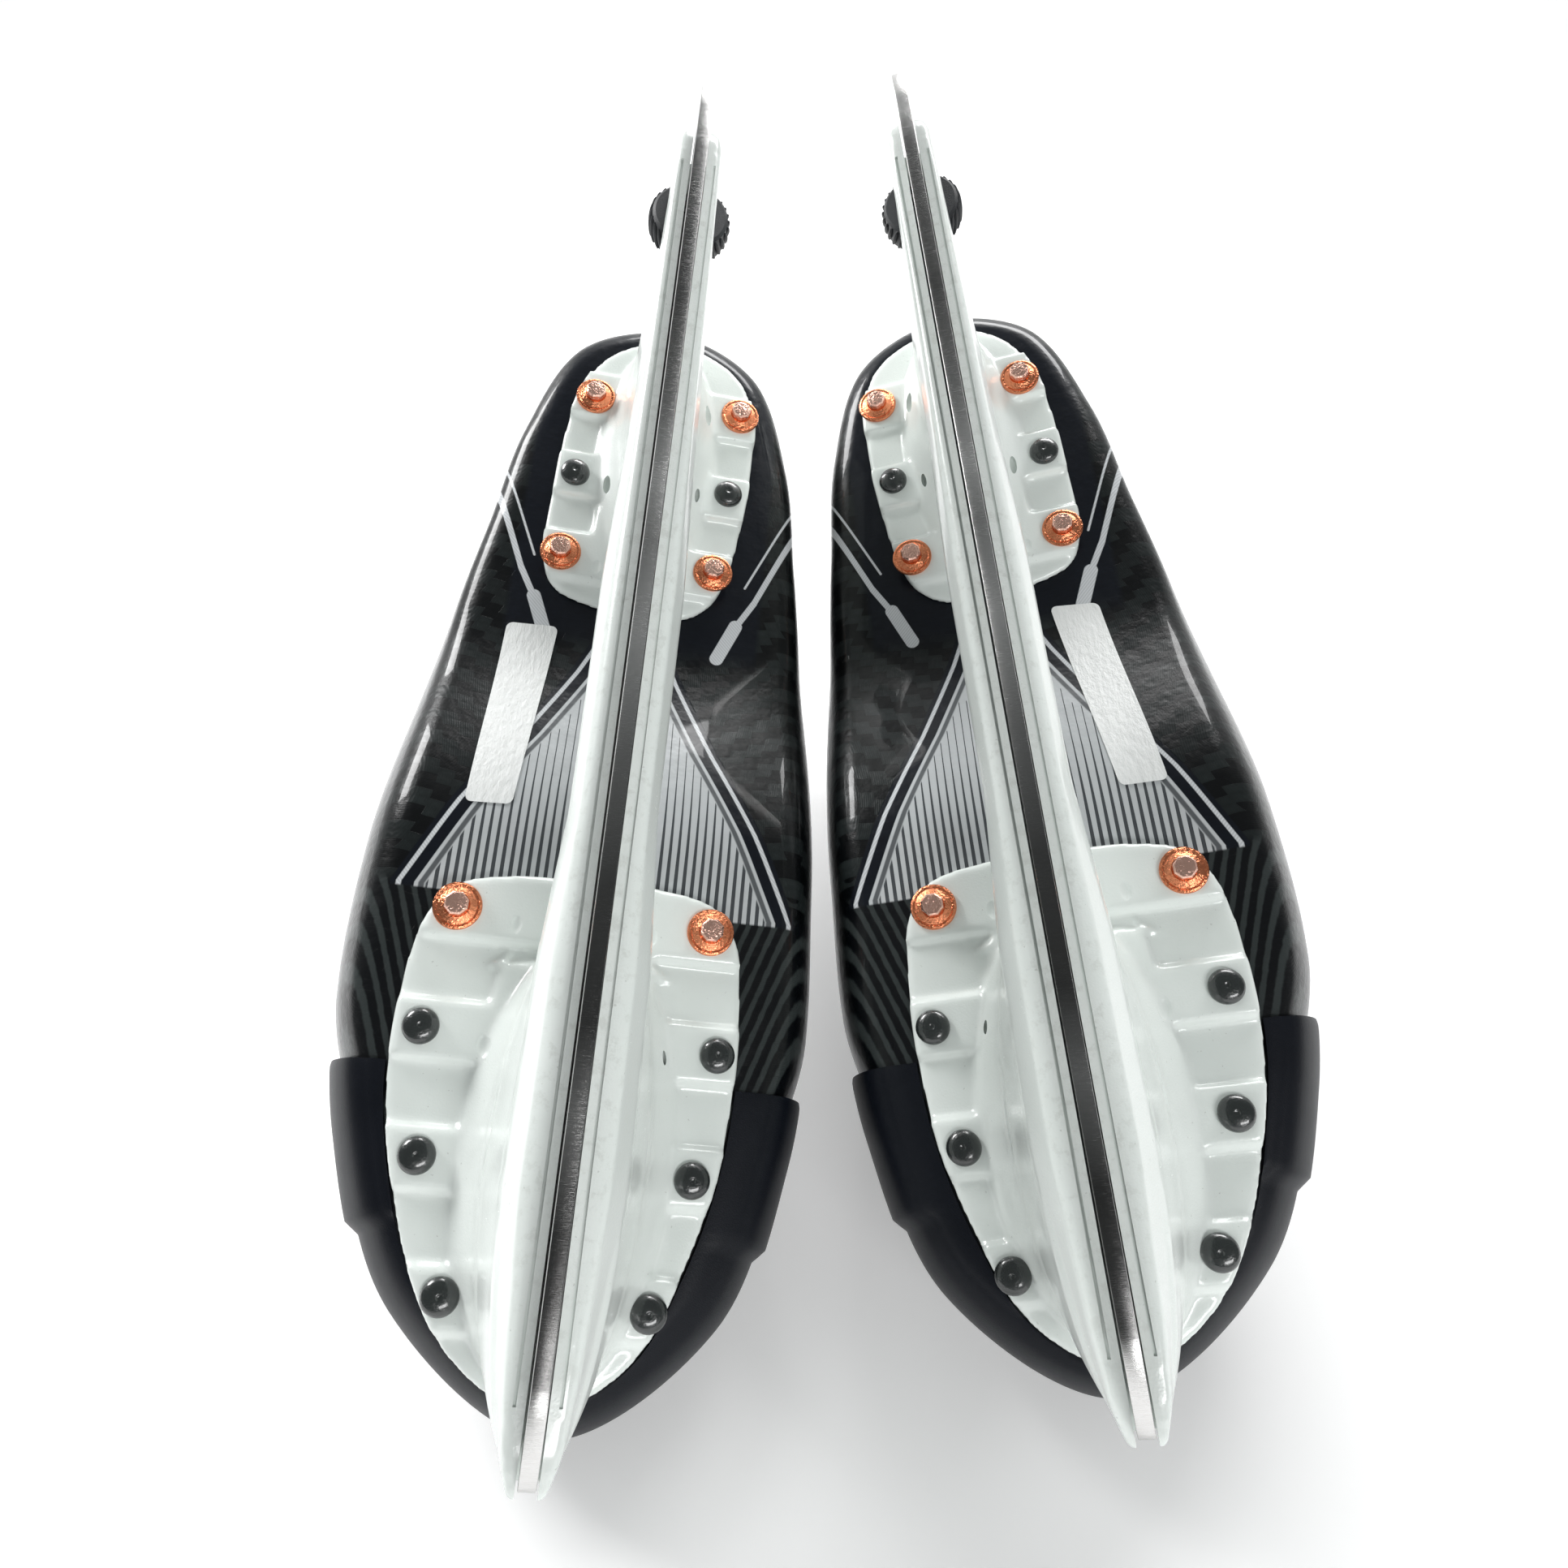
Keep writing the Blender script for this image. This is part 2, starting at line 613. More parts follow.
def boot_laminate():
    n, place, wear = worn_material(
        "glossy woven laminate", 0.22, 0.2, IOR=1.33, Specular_IOR_Level=0.35, Coat_Weight=0.45,
        Coat_Roughness=0.035, Coat_IOR=1.35,
    )
    x, y, z = n.split(place)
    down = n.step(n.split(n.facing())[2], -0.72, -0.88)
    side_v = n.times_plus(n.math("ABSOLUTE", x), -0.6, n.times(z, 0.95))
    twill = use_group(n, TWILL, U=n.times_plus(side_v, 0.96, n.times(y, 0.28)),
                      V=n.times_plus(side_v, -0.28, n.times(y, 0.96)), Tow=2.1)
    patch = n.noise(place, 0.05, 2.0)
    woven = n.mix(n.times(twill["Over"], patch), (0.001, 0.0015, 0.002, 1), (0.022, 0.028, 0.028, 1))
    # one-way tows run up from the sole near the toe cap
    slant = n.times_plus(n.math("ABSOLUTE", x), 0.95, n.times_plus(z, -0.55, n.times(y, 0.34)))
    rib = n.math("SINE", n.times(slant, 2.3))
    rib = n.plus(rib, n.times(n.noise(place, 0.5, 3.0), 1.2))
    one_way = n.mix(n.step(rib, 0.4, 1.3), (0.0015, 0.002, 0.003, 1), (0.03, 0.036, 0.036, 1))
    forward = n.step(n.plus(y, n.times(z, 0.15)), 46.0, 49.0)
    wall = n.mix(forward, woven, one_way)
    cloud = n.noise(n.scaled(place, (0.2, 1.4, 0.2)), 1.5, 3.0)
    navy = n.mix(cloud, (0.002, 0.003, 0.006, 1), (0.005, 0.007, 0.012, 1))
    panel, stripe, rim_line, lines, hatch, printed = sole_print(n, place)
    plain = n.times(down, printed)
    base = n.mix(plain, wall, navy)
    shown = n.step(n.split(n.facing())[2], -0.05, -0.2)
    ink = n.math("MAXIMUM", n.times(stripe, 0.93), n.times(rim_line, 0.85))
    silver = n.mix(ink, (0.50, 0.52, 0.53, 1), (0.03, 0.034, 0.04, 1))
    sole_side = n.step(z, 88.0, 84.0)
    base = n.mix(n.times(n.times(panel, shown), sole_side), base, silver)
    light = n.mix(n.times(hatch, 0.25), (0.62, 0.64, 0.66, 1), (0.2, 0.21, 0.22, 1))
    base = n.mix(n.times(n.times(lines, shown), sole_side), base, light)
    wave = n.noise(place, 0.16, 3.0, 0.6)
    fine = n.times_plus(twill["Over"], 0.18, n.times(twill["Fibre"], 0.02))
    height = n.times_plus(wave, 1.0, n.times(fine, n.minus(1.0, plain)))
    ribs = n.times(n.times(rib, 0.1), n.times(forward, n.minus(1.0, plain)))
    return finished(n, base, wear["Roughness"], n.plus(height, ribs), 0.0003)


def satin_navy():
    n, place, wear = worn_material("satin navy toe plastic", 0.34, 0.16, IOR=1.38, Specular_IOR_Level=0.3)
    tint = n.mix(wear["Smudge"], (0.002, 0.003, 0.006, 1), (0.005, 0.0065, 0.011, 1))
    scrape = n.step(n.noise(n.scaled(place, (0.5, 0.12, 0.9)), 1.3, 6.0, 0.75), 0.68, 0.72)
    tint = n.mix(n.times(scrape, 0.2), tint, (0.05, 0.053, 0.058, 1))
    return finished(n, tint, wear["Roughness"], n.noise(place, 4.0, 2.0), 0.00005)


def bright_copper():
    n = new_material("bright copper", Metallic=1.0)
    place = n.skate()
    y, z = n.split(place)[1:3]
    tarnish = n.noise(place, 0.7, 4.0, 0.6)
    tip = n.math("MAXIMUM", n.step(z, 46.3, 45.9), n.times(n.step(z, 64.8, 64.4), n.step(y, 0.0, -1.0)))
    ring = n.mix(tarnish, (0.70, 0.20, 0.09, 1), (0.86, 0.34, 0.18, 1))
    tint = n.mix(tip, ring, (0.92, 0.56, 0.45, 1))
    return finished(n, tint, n.times_plus(tarnish, 0.18, 0.14, clamp=True), n.noise(place, 1.6, 3.0), 0.00025)


def black_lacquer():
    n, place, wear = worn_material(
        "black lacquered steel", 0.2, 0.12, IOR=1.5, Coat_Weight=0.8, Coat_Roughness=0.08)
    tint = n.mix(wear["Smudge"], (0.006, 0.008, 0.008, 1), (0.02, 0.025, 0.024, 1))
    return finished(n, tint, wear["Roughness"], n.noise(place, 2.5, 2.0), 0.00008)


def black_moulding():
    n, place, wear = worn_material("black satin moulding", 0.42, 0.16, IOR=1.48)
    tint = n.mix(wear["Smudge"], (0.009, 0.01, 0.012, 1), (0.024, 0.026, 0.03, 1))
    return finished(n, tint, wear["Roughness"], n.noise(place, 3.5, 3.0), 0.00008)


def grained_synthetic():
    n, place, wear = worn_material("grained synthetic leather", 0.5, 0.2, IOR=1.47)
    cells = n.add("ShaderNodeTexVoronoi", feature="DISTANCE_TO_EDGE")
    n.feed(cells.inputs["Vector"], place)
    cells.inputs["Scale"].default_value = 0.9
    grain = n.step(cells.outputs["Distance"], 0.0, 0.22)
    tint = n.mix(grain, (0.006, 0.007, 0.008, 1), (0.02, 0.022, 0.025, 1))
    return finished(n, tint, wear["Roughness"], grain, 0.0002)


def knit_lining():
    n = new_material("brushed knit lining", Roughness=0.92, Sheen_Weight=0.5, Sheen_Roughness=0.5)
    place = n.skate()
    x, y, z = n.split(place)
    loops_u = n.math("SINE", n.times(n.plus(y, x), 3.4))
    loops_v = n.math("SINE", n.times(z, 3.4))
    loops = n.times(loops_u, loops_v)
    fuzz = n.noise(place, 1.8, 4.0, 0.7)
    tint = n.mix(fuzz, (0.018, 0.02, 0.024, 1), (0.05, 0.054, 0.06, 1))
    tint = n.mix(n.step(loops, 0.1, 0.8), tint, (0.07, 0.075, 0.082, 1))
    return finished(n, tint, None, n.times_plus(loops, 0.4, fuzz), 0.0004)


def pressed_felt():
    n = new_material("pressed white felt", Roughness=0.95, Sheen_Weight=0.4, Sheen_Roughness=0.6)
    place = n.skate()
    fibre = n.noise(n.scaled(place, (1.0, 0.35, 0.35)), 2.6, 6.0, 0.75)
    mottle = n.noise(place, 0.09, 3.0, 0.5)
    tint = n.mix(fibre, (0.50, 0.50, 0.48, 1), (0.78, 0.78, 0.75, 1))
    return finished(n, n.mix(n.times(mottle, 0.3), tint, (0.5, 0.5, 0.49, 1)), None, fibre, 0.0005)


def paper_label():
    n = new_material("plain white label", IOR=1.45, Coat_Weight=0.2, Coat_Roughness=0.2)
    place = n.skate()
    crease = n.noise(n.scaled(place, (0.9, 0.25, 0.9)), 0.9, 4.0, 0.6)
    rub = n.step(n.noise(place, 0.5, 5.0, 0.7), 0.6, 0.75)
    tint = n.mix(crease, (0.78, 0.79, 0.78, 1), (0.88, 0.89, 0.88, 1))
    tint = n.mix(n.times(rub, 0.12), tint, (0.45, 0.45, 0.44, 1))
    return finished(n, tint, n.times_plus(crease, 0.25, 0.3), crease, 0.0004)


WHITE, STEEL, LAMINATE, NAVY = moulded_white(), ground_steel(), boot_laminate(), satin_navy()
COPPER_FINISH, LACQUER, MOULDING = bright_copper(), black_lacquer(), black_moulding()
SYNTHETIC, KNIT, FELT, PAPER = grained_synthetic(), knit_lining(), pressed_felt(), paper_label()


# ---------------------------------------------------------------- the boot's surface
def level(height, column):
    spread = np.array([-7, -4.5, -2, 0, 2, 4.5, 7]) * min(1, max(0, height - 60) / 12)
    return float(np.mean(np.interp(height + spread, LEVELS[:, 0], LEVELS[:, column])))


def sole_at(y):
    return SOLE_HEEL - (SOLE_HEEL - SOLE_FRONT) * ease(y, -34, 28)


def undercut(rise, y):
    """How far the sole's edge draws in, with a small round where it meets the sole."""
    fore = ease(y, -60, 20)
    left = np.maximum(0, 1 - max(rise, 0) / (9 + 13 * fore))
    low = max(0, 3.2 - max(rise, 0))
    return (4 + 4 * fore) * left**2.5 + 3.2 - math.sqrt(max(0, 3.2**2 - low**2))


def shell_grow(y):
    return -CAP_STEP * ease(y, 64, 90)


def boot_ring(height, grow, count):
    back, front, wide = (level(height, k) for k in (1, 2, 3))
    outline = np.array(OUTLINE, float)
    outline[:, 0] *= wide
    outline[:, 1] = back + (outline[:, 1] - OUTLINE_BACK) * (front - back) / OUTLINE_LENGTH
    ring = closed_curve(outline, count)
    by = grow(ring[:, 1]) if callable(grow) else np.full(count, float(grow))
    ring = grown(ring, by - undercut(height - SOLE_FRONT, ring[:, 1]))
    z = height + (sole_at(ring[:, 1]) - SOLE_FRONT) * (1 - ease(height, 75, 130))
    return np.c_[ring, z]


def boot_solid(grow, low, high, count, step):
    heights = [low + d for d in (0, 0.15, 0.5, 1.1, 2, 3.2, 5) if low < 60]
    heights = heights or [low]
    steps = int((high - heights[-1]) / step) + 2
    heights += list(np.linspace(heights[-1], high, steps)[1:])
    return loft([boot_ring(h, grow, count) for h in heights])


def throat_half(y):
    return np.interp(y, (-42, 80), (27, 13.5))


def throat_cutter(low):
    outline = [(-13.5, 80), (-27, -42), (-27, -70), (27, -70), (27, -42), (13.5, 80)]
    return made_of("throat", prism(outline, low, 300))


def above_collar(rise):
    line = open_curve(COLLAR, 30)
    line[:, 1] += rise
    outline = [(160, line[0][1]), *map(tuple, line), (-180, line[-1][1]), (-180, 400), (160, 400)]
    return cleaned("collar", side_prism(outline, 150))


def boot_shell():
    shell = made_of("shell", boot_solid(shell_grow, SOLE_FRONT, 240, 240, 2.5))
    inner = boot_solid(lambda y: shell_grow(y) - SHELL_WALL, SOLE_FRONT + SHELL_WALL, 246, 160, 4)
    boolean(shell, made_of("hollow", inner))
    boolean(shell, throat_cutter(85))
    boolean(shell, above_collar(0))
    return shell


def boot_liner():
    start = SOLE_FRONT + 5
    liner = made_of("liner", boot_solid(lambda y: shell_grow(y) - SHELL_WALL - 0.35, start, 246, 120, 4))
    boolean(liner, made_of("room", boot_solid(lambda y: shell_grow(y) - 7.6, start - 2, 252, 120, 4)))
    boolean(liner, throat_cutter(85))
    boolean(liner, above_collar(1.6))
    softened(liner, 1.7, 3)
    mesh = liner.data
    co, normal = (point_values(mesh, key).reshape(-1, 3).astype(float) for key in ("co", "normal"))
    inward = (normal[:, :2] * co[:, :2]).sum(1) < 0
    pad = 0.7 * np.abs(np.sin(co[:, 2] * math.pi / 19)) * (co[:, 2] > 120) * inward
    co += normal * pad[:, None]
    mesh.vertices.foreach_set("co", co.ravel())
    mesh.update()
    return liner


def toe_cap():
    """The cap's rear band stands proud of its nose, and a thin lip wraps under the sole to the flange."""

    def skin(y):
        return 0.35 - 2.0 * ease(y, 109.5, 112.5) - 0.5 * ease(y, 79.5, 77)

    heights = [52.4, 52.55, 52.9, 53.5, 54.4, 55.6] + list(np.linspace(57.5, 128, 40))
    rings = [boot_ring(h, skin, 460) for h in heights]
    low = rings[0].copy()
    low[:, 2] -= 0.75
    cap = made_of("cap", loft([low] + rings[1:]))
    inside = made_of("foot", boot_solid(lambda y: shell_grow(y) + 0.25, SOLE_FRONT - 0.05, 132, 240, 3))
    boolean(cap, inside)
    edge = grown(closed_curve(FRONT_FLANGE, 120), 0.5)
    boolean(cap, made_of("flange", prism(edge, 40, 53)))
    behind = [(-150, 150), (-150, 0), (75, 0), (78, 70), (85, 150)]
    boolean(cap, cleaned("rear", side_prism(behind, 150)))
    return cap


def footbed():
    return made_of("bed", boot_solid(lambda y: shell_grow(y) - 8.4, SOLE_FRONT + 5, SOLE_FRONT + 10, 120, 2))


def eyestay(side):
    stay = made_of("stay", boot_solid(1.9, 86, 240, 160, 3))
    boolean(stay, made_of("under", boot_solid(0.3, 84, 246, 160, 3)))
    edge = [(80, 13.5), (-42, 27), (-70, 27)]
    band = [(side * (w + 0.6), y - 4) for y, w in edge] + [(side * (w + 16), y - 4) for y, w in reversed(edge)]
    boolean(stay, cleaned("strip", prism(band, 92, 300)), "INTERSECT")
    boolean(stay, above_collar(-1))
    boolean(stay, made_of("front", block(-200, 200, 70, 200, 0, 300)))
    front = np.array([
        (90, 104), (77, 112), (54, 124), (31, 140), (8, 160), (-12, 185), (-26, 210), (-35, 234),
        (-39, 250),
    ], float)
    along = np.gradient(front, axis=0)
    along /= np.linalg.norm(along, axis=1)[:, None]
    back = open_curve(front + np.c_[-along[:, 1], along[:, 0]] * 27, 40)
    behind = [*map(tuple, back), (-200, 250), (-200, 0), (90, 0)]
    boolean(stay, cleaned("behind", side_prism(behind, 150)))
    return softened(stay, 0.62, 3)


def tongue():
    stations = 110
    line = open_curve(
        [(74, 105), (56, 115), (34, 129), (14, 145), (-6, 167), (-24, 191), (-40, 213), (-56, 231)], stations)
    slope = np.gradient(line, axis=0)
    slope /= np.linalg.norm(slope, axis=1)[:, None]
    share = np.linspace(0, 1, stations)
    around = np.arange(56) / 56 * 2 * math.pi
    rings = []
    for (y, z), (ty, tz), s in zip(line, slope, share):
        tip = 1 - 0.26 * ease(s, 0.9, 1) ** 2
        half = (throat_half(y) - 1.8) * tip
        thick = 3.9 * (0.6 + 0.4 * ease(s, 0, 0.1)) * (1 - 0.35 * ease(s, 0.96, 1))
        a = np.sign(np.cos(around)) * np.abs(np.cos(around)) ** 0.55
        b = np.sign(np.sin(around)) * np.abs(np.sin(around)) ** 0.7
        quilt = 1 - 0.22 * np.exp(-((((s * 7) % 1) - 0.5) / 0.07) ** 2) - 0.16 * np.exp(-(a / 0.05) ** 2)
        up = b * thick * quilt - 1.2 * a**2
        rings.append(np.c_[a * half, y + tz * up, z - ty * up])
    return cleaned("tongue", loft(rings))


def tendon_guard():
    levels = np.array([(209, -92.5, 31, 28.5), (223, -94, 30, 30), (240, -98, 27, 31), (256, -103, 22, 31),
                       (266, -107, 14, 30)])
    strips, stations = 61, 58
    columns = np.radians(np.linspace(-78, 78, strips))
    rings = []
    for z in np.linspace(209, 266, stations):
        y, half, deep = (np.interp(z, levels[:, 0], levels[:, k]) for k in (1, 2, 3))
        ribbed = (np.abs(columns) < 0.85) * (213 < z < 258)
        inset = 0.55 - 0.45 * np.clip(np.cos(z * 2 * math.pi / 6.5) * 2, -1, 1) * ribbed
        s, c = np.sin(columns), np.cos(columns)
        outer = np.c_[s * (half - inset), y - c * (deep - inset), np.full(strips, z)]
        inner = np.c_[s * (half - 4.3), y - c * (deep - 4.3), np.full(strips, z)][::-1]
        rings.append(np.vstack([outer, inner]))
    verts, faces = loft(rings, caps="none")
    n = 2 * strips
    top = (stations - 1) * n
    for i in range(strips - 1):
        quad = (i, i + 1, n - 2 - i, n - 1 - i)
        faces += [tuple(reversed(quad)), tuple(top + k for k in quad)]
    guard = tidy_normals(new_object("guard", verts, faces))
    return softened(guard, 0.75, 2)


# ---------------------------------------------------------------- the blade holder
def oval_ring(back, front, half, z, count=72, square=0.9):
    a = -math.pi / 2 + np.arange(count) / count * 2 * math.pi
    x = half * np.sign(np.cos(a)) * np.abs(np.cos(a)) ** square
    return np.c_[x, (back + front) / 2 + (front - back) / 2 * np.sin(a), np.full(count, z)]


def tower(rows, steps=34):
    rows = np.array(rows, float)
    heights = np.linspace(rows[0, 0], rows[-1, 0], steps)
    smooth = [np.mean([np.interp(heights + d, rows[:, 0], rows[:, k]) for d in (-2.5, -1, 0, 1, 2.5)], axis=0)
              for k in (1, 2, 3)]
    return loft([oval_ring(b, f, w, z) for z, b, f, w in zip(heights, *smooth)])


RAIL = np.array([
    (-140, 13.5, 27, 3.6, 4.4), (-136, 11.6, 30, 4.6, 5.6), (-112, 11, 30, 5, 6.2), (-60, 10.6, 27, 5, 7.6),
    (-20, 10.4, 25, 5, 8.8), (30, 10.4, 25, 5, 8.8), (60, 10.6, 27, 5.2, 11), (100, 11, 30, 5.4, 11.6),
    (128, 11.6, 28, 5.2, 8), (140, 13, 26, 4.6, 5.6), (146, 15.4, 22.5, 3, 3.4),
])


def rail():
    rings = []
    for y in np.linspace(-140, 146, 120):
        low, high, below, above = (np.interp(y, RAIL[:, 0], RAIL[:, k]) for k in (1, 2, 3, 4))
        mid = low + (high - low) * 0.5
        half = [(below, low), (below + (above - below) * 0.35, low + 1.1), (above * 0.94, mid - 1.2),
                (above, mid + 0.8), (above * 0.93, high - 1.2), (above * 0.5, high)]
        section = half + [(-x, z) for x, z in reversed(half)]
        rings.append([(x, y, z) for x, z in reversed(section)])
    return loft(rings, caps="flat")


def ellipsoid(centre, radii, turned=0.0):
    angle = np.arange(28) / 28 * 2 * math.pi
    rings = []
    for t in np.linspace(-1, 1, 17)[1:-1] * math.pi / 2:
        rings.append(np.c_[np.cos(t) * np.cos(angle), np.cos(t) * np.sin(angle), np.full(28, math.sin(t))])
    verts, faces = loft(rings, caps="flat")
    verts = verts * np.array(radii)
    c, s = math.cos(turned), math.sin(turned)
    verts = np.c_[verts[:, 0], verts[:, 1] * c - verts[:, 2] * s, verts[:, 1] * s + verts[:, 2] * c]
    return verts + np.array(centre), faces


def flange(outline, low, bands, inset):
    """A base plate with raised bands under the rivets and lower panels between them."""
    ring = closed_curve(outline, 160)
    plate = made_of("plate", prism(ring, low + 1.9, low + FLANGE))
    pads = made_of("pads", joined([block(-60, 60, a, b, low - 5, low + 3) for a, b in bands]))
    raised = made_of("raised", prism(ring, low, low + 2.6))
    boolean(raised, pads, "INTERSECT")
    spine = made_of("spine", prism(grown(ring, -inset), low, low + 2.6))
    return [plate, raised, spine]


def blade_holder():
    pieces = flange(FRONT_FLANGE, FRONT_LOW, [(36, 51.5), (64.5, 76.5), (89.5, 101.5), (115, 127)], 19)
    pieces += flange(HEEL_FLANGE, HEEL_LOW, [(-107.5, -94), (-82, -69.5), (-58.5, -45.5)], 12.5)
    pieces.append(made_of("front tower", tower([
        (20, 42, 146, 10.8), (27, 43, 145, 13), (34, 45, 143, 14.8), (41, 48, 139.5, 16),
        (45.5, 49.5, 137, 18.5), (50.5, 50, 136, 23),
    ])))
    pieces.append(made_of("rear tower", tower([
        (20, -138.5, -88, 5.6), (30, -140.2, -86, 6.0), (40, -140, -80, 6.9), (52, -134, -70, 8.4),
        (61, -126.5, -58, 9.6), (66, -120.5, -50, 13), (69, -119, -46, 17),
    ])))
    pieces.append(made_of("rail", rail()))
    for piece in pieces:
        tidy_normals(piece)
    body = pieces[0]
    work = bmesh.new()
    for piece in pieces:
        work.from_mesh(piece.data)
    work.to_mesh(body.data)
    work.free()
    for piece in pieces[1:]:
        bpy.data.objects.remove(piece)
    softened(body, 0.82, 4)
    hollows = []
    for side in (-1, 1):
        hollows.append(ellipsoid((side * 20.2, 84, 36.5), (5.6, 33, 4.6), 0.05))
        hollows.append(ellipsoid((side * 17.4, 70, 26.5), (4.6, 42, 3.4), -0.02))
        hollows.append(ellipsoid((side * 12.4, -96, 46), (4.8, 26, 8), 0.62))
        hollows.append(ellipsoid((side * 12.4, 6, 19.5), (4.4, 46, 3.0)))
    for x, y in COPPER + BLACK:
        low = FRONT_LOW if y > 0 else HEEL_LOW
        inboard = x - math.copysign(12.6 if y > 0 else 9.4, x)
        hollows.append(ellipsoid((inboard, y + 2.5, low - 1.2), (1.9, 3.3, 1.5)))
    boolean(body, cleaned("hollows", joined(hollows)))
    eased(body, 0.4, 1)
    cuts = [block(-1.9, 1.9, -142, 147, 0, 24), block(-30, 30, -138.2, -116.8, 26.1, 34.3),
            lathe([(3.5, 18.8), (3.5, 47.7)], 32, BOLT_Y)]
    for cut in cuts:
        boolean(body, cleaned("cut", cut))
    grooves = []
    for side in (-1, 1):
        top = [(side * 3.75 + d, y, np.interp(y, RAIL[:, 0], RAIL[:, 1]) + 0.55)
               for d, ys in ((-0.28, range(-128, 133, 4)), (0.28, range(132, -129, -4))) for y in ys]
        top = np.array(top, float)
        grooves.append(loft([top - (0, 0, 4), top], caps="flat"))
    boolean(body, cleaned("grooves", joined(grooves)))
    return body


# ---------------------------------------------------------------- runner, lock bolt and lock wheel
def runner():
    ice = [(y, y * y / 6096) for y in np.arange(-132, 121, 4.5)]
    toe = open_curve([
        (120, 2.4), (130, 4.4), (137, 7.4), (142, 10.8), (144.3, 13.4), (144, 16.6), (140, 17.6),
    ], 26)
    top = [(118.5, 20), (117, 26.5), (106, 26.5), (104, 20), (-126.7, 20), (-126.7, 14.8), (-120.3, 14.8),
           (-120.3, 11.2), (-131.3, 11.2), (-131.3, 20)]
    heel = open_curve([
        (-142.4, 20), (-144.6, 25), (-149.5, 26), (-151, 22), (-150.4, 12.5), (-147, 6), (-140, 3.5),
        (-132, 2.86),
    ], 30)[:-1]
    outline = ice[:-1] + [tuple(p) for p in toe] + top + [tuple(p) for p in heel]
    plate = cleaned("runner", side_prism(outline, 1.5))
    return bevelled(plate, 0.22, 2)


def bevelled(obj, width, segments):
    bevel = obj.modifiers.new("edge", "BEVEL")
    bevel.width, bevel.segments = width, segments
    bevel.limit_method = "ANGLE"
    bevel.angle_limit = math.radians(40)
    bevel.use_clamp_overlap = True
    return bake(obj)


def lock_bolt():
    hook = [(-130, 11.6), (-120.7, 11.6), (-120.7, 14.4), (-127.1, 14.4), (-127.1, 26), (-130, 26)]
    plate = cleaned("hook", side_prism(hook, 1.5))
    rings = []
    for z in np.arange(24.4, 44.01, 0.3125):
        radius = 2.5 if round((z - 24.4) / 0.3125) % 4 < 2 else 2.22
        rings.append((radius if 24.8 < z < 43.8 else 2.0, z))
    rod = cleaned("rod", lathe(rings, 28, BOLT_Y))
    return boolean(plate, rod, "UNION")


# ---------------------------------------------------------------- parts repeated in rows
def rows_tree():
    tree = bpy.data.node_groups.new("parts set in a row", "GeometryNodeTree")
    tree.is_modifier = True
    tree.interface.new_socket("Points", in_out="INPUT", socket_type="NodeSocketGeometry")
    for label, kind in (("Part", "NodeSocketObject"), ("Finish", "NodeSocketMaterial"),
                        ("Turn Spread", "NodeSocketFloat"), ("Seed", "NodeSocketInt")):
        tree.interface.new_socket(label, in_out="INPUT", socket_type=kind)
    tree.interface.new_socket("Row", in_out="OUTPUT", socket_type="NodeSocketGeometry")
    n = Nodes(tree)
    given, out = n.add("NodeGroupInput").outputs, n.add("NodeGroupOutput").inputs
    outward = n.add("GeometryNodeInputNamedAttribute", data_type="FLOAT_VECTOR")
    outward.inputs[0].default_value = "outward"
    along = n.add("GeometryNodeInputNamedAttribute", data_type="FLOAT_VECTOR")
    along.inputs[0].default_value = "along"
    stand = n.add("FunctionNodeAlignRotationToVector", axis="Z")
    n.feed(stand.inputs["Vector"], outward.outputs[0])
    point = n.add("FunctionNodeAlignRotationToVector", axis="Y", pivot_axis="Z")
    n.feed(point.inputs["Rotation"], stand.outputs[0])
    n.feed(point.inputs["Vector"], along.outputs[0])
    chance = n.add("FunctionNodeRandomValue", data_type="FLOAT")
    n.feed(chance.inputs[3], given["Turn Spread"])
    n.feed(chance.inputs["Seed"], given["Seed"])
    euler = n.add("ShaderNodeCombineXYZ")
    n.feed(euler.inputs[2], chance.outputs[1])
    spin = n.add("FunctionNodeRotateRotation", rotation_space="LOCAL")
    n.feed(spin.inputs[0], point.outputs[0])
    n.feed(spin.inputs[1], euler.outputs[0])
    source = n.add("GeometryNodeObjectInfo")
    n.feed(source.inputs["Object"], given["Part"])
    copies = n.add("GeometryNodeInstanceOnPoints")
    n.feed(copies.inputs["Points"], given["Points"])
    n.feed(copies.inputs["Instance"], source.outputs["Geometry"])
    n.feed(copies.inputs["Rotation"], spin.outputs[0])
    real = n.add("GeometryNodeRealizeInstances")
    n.feed(real.inputs[0], copies.outputs[0])
    finish = n.add("GeometryNodeSetMaterial")
    n.feed(finish.inputs["Geometry"], real.outputs[0])
    n.feed(finish.inputs["Material"], given["Finish"])
    n.feed(out["Row"], finish.outputs[0])
    return tree


ROWS = rows_tree()


def in_rows(name, points, outward, along, part, material, spread=0.0, seed=1):
    """A row of copies of a part, standing on points; the part is used up."""
    row = new_object(name, points, [])
    for key, values in (("outward", outward), ("along", along)):
        kept = row.data.attributes.new(key, "FLOAT_VECTOR", "POINT")
        kept.data.foreach_set("vector", np.array(np.broadcast_to(values, (len(points), 3)), np.float32).ravel())
    modifier = row.modifiers.new("row", "NODES")
    modifier.node_group = ROWS
    sockets = {item.name: item.identifier for item in ROWS.interface.items_tree if item.in_out == "INPUT"}
    for label, value in (("Part", part), ("Finish", material), ("Turn Spread", spread), ("Seed", seed)):
        modifier[sockets[label]] = value
    bake(row)
    for key in ("outward", "along"):
        if key in row.data.attributes:
            row.data.attributes.remove(row.data.attributes[key])
    bpy.data.objects.remove(part)
    return row


